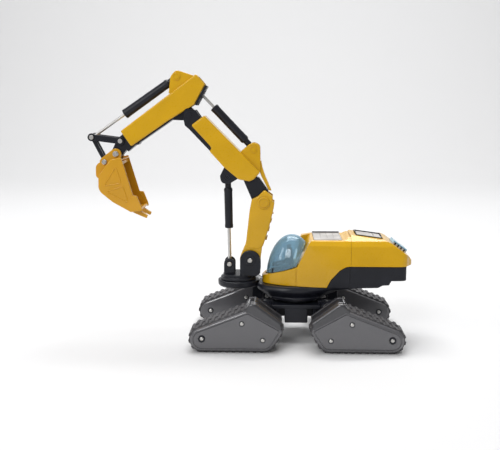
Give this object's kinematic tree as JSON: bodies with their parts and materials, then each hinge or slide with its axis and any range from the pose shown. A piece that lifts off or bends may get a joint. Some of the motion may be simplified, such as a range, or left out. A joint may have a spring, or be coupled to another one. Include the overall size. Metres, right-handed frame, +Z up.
{
  "type": "four-track concept excavator model",
  "caption": "Small display model of a four-track excavator with a jointed boom, stick and bucket, hydraulic cylinder rods, a domed cab and a slewing house.",
  "frame": {"origin": "on the ground plane, at the middle of the whole model's length and width, in the pose it is stored in", "axes": "+Z up; -X is the end that the bucket reaches over and +X is the counterweight; -Y is the machine's left side"},
  "size_m": [0.1996, 0.0826, 0.166],
  "materials": {
    "body_yellow": "warm yellow enamel, satin gloss, over die-cast metal",
    "bucket_yellow": "slightly browner satin yellow enamel",
    "black_casting": "blue-black moulded plastic, satin",
    "track_grey": "grey plastic with fine metallic speckle",
    "belt_grey": "dull dark grey rubber",
    "steel": "bright nickel plate",
    "vent_silver": "silver painted plastic",
    "clear_blue": "clear blue tinted plastic"
  },
  "bodies": {
    "chassis": {"chassis_frame": "black_casting", "slew_ring": "black_casting", "slew_pin": "steel", "front_left_arm_pin": "steel", "front_right_arm_pin": "steel", "rear_left_arm_pin": "steel", "rear_right_arm_pin": "steel"},
    "front_left_leg": {"front_left_arm": "black_casting", "front_left_inner_cover": "track_grey", "front_left_outer_cover": "track_grey", "front_left_belt": "belt_grey", "front_left_fender": "track_grey"},
    "front_right_leg": {"front_right_arm": "black_casting", "front_right_inner_cover": "track_grey", "front_right_outer_cover": "track_grey", "front_right_belt": "belt_grey", "front_right_fender": "track_grey"},
    "rear_left_leg": {"rear_left_arm": "black_casting", "rear_left_inner_cover": "track_grey", "rear_left_outer_cover": "track_grey", "rear_left_belt": "belt_grey", "rear_left_fender": "track_grey"},
    "rear_right_leg": {"rear_right_arm": "black_casting", "rear_right_inner_cover": "track_grey", "rear_right_outer_cover": "track_grey", "rear_right_belt": "belt_grey", "rear_right_fender": "track_grey"},
    "house": {"house_tray": "black_casting", "turntable_base": "black_casting", "front_body_shell": "body_yellow", "rear_body_shell": "body_yellow", "rear_skirt": "black_casting", "roof_vent_front": "vent_silver", "roof_vent_rear": "vent_silver", "rear_light": "clear_blue", "cab_dome": "clear_blue", "cab_seat": "black_casting"},
    "boom_foot": {"boom_turntable": "black_casting", "boom_pivot_pin": "steel", "boom_cylinder_foot_pin": "steel"},
    "boom_lower": {"lower_boom": "body_yellow", "knee_pin": "body_yellow"},
    "boom_upper": {"upper_boom_shell": "body_yellow", "upper_boom_core": "black_casting", "boom_neck_rib": "body_yellow", "stick_pivot_pin": "steel"},
    "stick": {"stick_shell": "body_yellow", "stick_core": "black_casting", "stick_end_plate": "black_casting"},
    "boom_barrel": {"boom_cylinder_barrel": "black_casting"},
    "boom_rod": {"boom_cylinder_rod": "steel"},
    "stick_barrel": {"stick_cylinder_barrel": "black_casting"},
    "stick_rod": {"stick_cylinder_rod": "steel"},
    "bucket_barrel": {"bucket_cylinder_barrel": "black_casting"},
    "bucket_rod": {"bucket_cylinder_rod": "steel"},
    "rocker": {"bucket_rocker": "black_casting"},
    "link": {"bucket_link": "black_casting"},
    "bucket": {"bucket": "bucket_yellow", "bucket_pin": "steel", "bucket_link_pin": "steel"}
  },
  "joints": [
    {"name": "house_slew", "type": "hinge", "parent": "chassis", "child": "house", "pos_m": [0.0288, 0, 0.025], "axis": [0, 0, 1], "continuous": true},
    {"name": "front_left_leg_pitch", "type": "hinge", "parent": "chassis", "child": "front_left_leg", "pos_m": [0.0108, -0.018, 0.0226], "axis": [0, 1, 0], "range_deg": [-10, 8]},
    {"name": "front_right_leg_pitch", "type": "hinge", "parent": "chassis", "child": "front_right_leg", "pos_m": [0.0108, 0.018, 0.0226], "axis": [0, 1, 0], "range_deg": [-10, 8]},
    {"name": "rear_left_leg_pitch", "type": "hinge", "parent": "chassis", "child": "rear_left_leg", "pos_m": [0.0468, -0.018, 0.0226], "axis": [0, 1, 0], "range_deg": [-8, 10]},
    {"name": "rear_right_leg_pitch", "type": "hinge", "parent": "chassis", "child": "rear_right_leg", "pos_m": [0.0468, 0.018, 0.0226], "axis": [0, 1, 0], "range_deg": [-8, 10]},
    {"name": "boom_swing", "type": "hinge", "parent": "house", "child": "boom_foot", "pos_m": [-0.0072, 0, 0.0362], "axis": [0, 0, 1], "range_deg": [-60, 60]},
    {"name": "boom_lift", "type": "hinge", "parent": "boom_foot", "child": "boom_lower", "pos_m": [0.0002, 0, 0.0495], "axis": [0, 1, 0], "range_deg": [-30, 10]},
    {"name": "knee_bend", "type": "hinge", "parent": "boom_lower", "child": "boom_upper", "pos_m": [0.0086, 0, 0.0852], "axis": [0, 1, 0], "range_deg": [-9.1, 3.1]},
    {"name": "boom_barrel_tilt", "type": "hinge", "parent": "boom_upper", "child": "boom_barrel", "pos_m": [-0.0138, 0, 0.1006], "axis": [0, 1, 0], "range_deg": [-2.3, 6.7]},
    {"name": "boom_rod_tilt", "type": "hinge", "parent": "boom_foot", "child": "boom_rod", "pos_m": [-0.0128, 0, 0.0462], "axis": [0, 1, 0], "range_deg": [-32.5, 10.9]},
    {"name": "stick_swing", "type": "hinge", "parent": "boom_upper", "child": "stick", "pos_m": [-0.0373, 0, 0.1393], "axis": [0, 1, 0], "range_deg": [-35, 20]},
    {"name": "stick_barrel_tilt", "type": "hinge", "parent": "boom_upper", "child": "stick_barrel", "pos_m": [0.0021, 0, 0.1179], "axis": [0, 1, 0], "range_deg": [-6, 3.5]},
    {"name": "stick_rod_tilt", "type": "hinge", "parent": "stick", "child": "stick_rod", "pos_m": [-0.0324, 0, 0.1542], "axis": [0, 1, 0], "range_deg": [-16.7, 29.1]},
    {"name": "bucket_curl", "type": "hinge", "parent": "stick", "child": "bucket", "pos_m": [-0.0826, 0, 0.115], "axis": [0, 1, 0], "range_deg": [-30, 45]},
    {"name": "rocker_swing", "type": "hinge", "parent": "stick", "child": "rocker", "pos_m": [-0.0797, 0, 0.1229], "axis": [0, 1, 0], "range_deg": [-18.1, 27.1]},
    {"name": "link_tilt", "type": "hinge", "parent": "rocker", "child": "link", "pos_m": [-0.0974, 0, 0.1252], "axis": [0, 1, 0], "range_deg": [-9.1, 6.1]},
    {"name": "bucket_barrel_tilt", "type": "hinge", "parent": "stick", "child": "bucket_barrel", "pos_m": [-0.0446, 0, 0.1618], "axis": [0, 1, 0], "range_deg": [-3.5, 5.2]},
    {"name": "bucket_rod_tilt", "type": "hinge", "parent": "rocker", "child": "bucket_rod", "pos_m": [-0.0974, 0, 0.1252], "axis": [0, 1, 0], "range_deg": [-21.9, 14.6]}
  ],
  "couplings": [
    {"joint": "knee_bend", "follows": "boom_lift", "ratio": 0.3},
    {"joint": "boom_barrel_tilt", "follows": "boom_lift", "ratio": -0.22},
    {"joint": "boom_rod_tilt", "follows": "boom_lift", "ratio": 1.08},
    {"joint": "stick_barrel_tilt", "follows": "stick_swing", "ratio": 0.17},
    {"joint": "stick_rod_tilt", "follows": "stick_swing", "ratio": -0.83},
    {"joint": "rocker_swing", "follows": "bucket_curl", "ratio": 0.6},
    {"joint": "link_tilt", "follows": "bucket_curl", "ratio": -0.2},
    {"joint": "bucket_barrel_tilt", "follows": "bucket_curl", "ratio": 0.115},
    {"joint": "bucket_rod_tilt", "follows": "bucket_curl", "ratio": -0.485}
  ]
}
